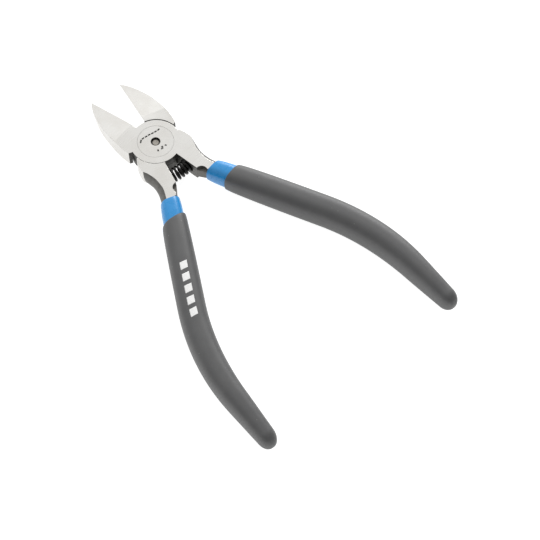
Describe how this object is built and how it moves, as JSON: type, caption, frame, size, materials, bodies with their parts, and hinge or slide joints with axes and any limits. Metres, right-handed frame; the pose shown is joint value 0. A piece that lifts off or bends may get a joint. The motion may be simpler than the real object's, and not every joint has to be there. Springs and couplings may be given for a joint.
{
  "type": "diagonal cutting pliers",
  "caption": "Diagonal cutting pliers: crossed levers on a lap joint, coil return spring and two-layer dipped grips.",
  "frame": {"origin": "on the pivot axis, at the flat back face of the head", "axes": "+Y from the pivot to the jaw tips, along the tool; +Z along the pivot, out of the front face; +X to the side of the front lever's handle"},
  "size_m": [0.0928, 0.1565, 0.0126],
  "materials": {
    "forged_steel": "satin ground faces, dark forged edges",
    "black_spring_steel": "black oxide wire, satin",
    "blue_vinyl": "smooth gloss",
    "grey_vinyl": "satin"
  },
  "bodies": {
    "rear_half": {"rear_lever": "forged_steel", "joint_disc": "forged_steel", "centre_rivet": "forged_steel", "rear_inner_sleeve": "blue_vinyl", "rear_outer_grip": "grey_vinyl", "return_spring": "black_spring_steel"},
    "front_half": {"front_lever": "forged_steel", "front_inner_sleeve": "blue_vinyl", "front_outer_grip": "grey_vinyl"}
  },
  "joints": [
    {"name": "jaw_pivot", "type": "hinge", "parent": "rear_half", "child": "front_half", "pos_m": [0, 0, 0.0038], "axis": [0, 0, -1], "range_deg": [-16, 23], "stiffness_Nm_per_rad": 1.6, "deforming": ["return_spring"]}
  ]
}
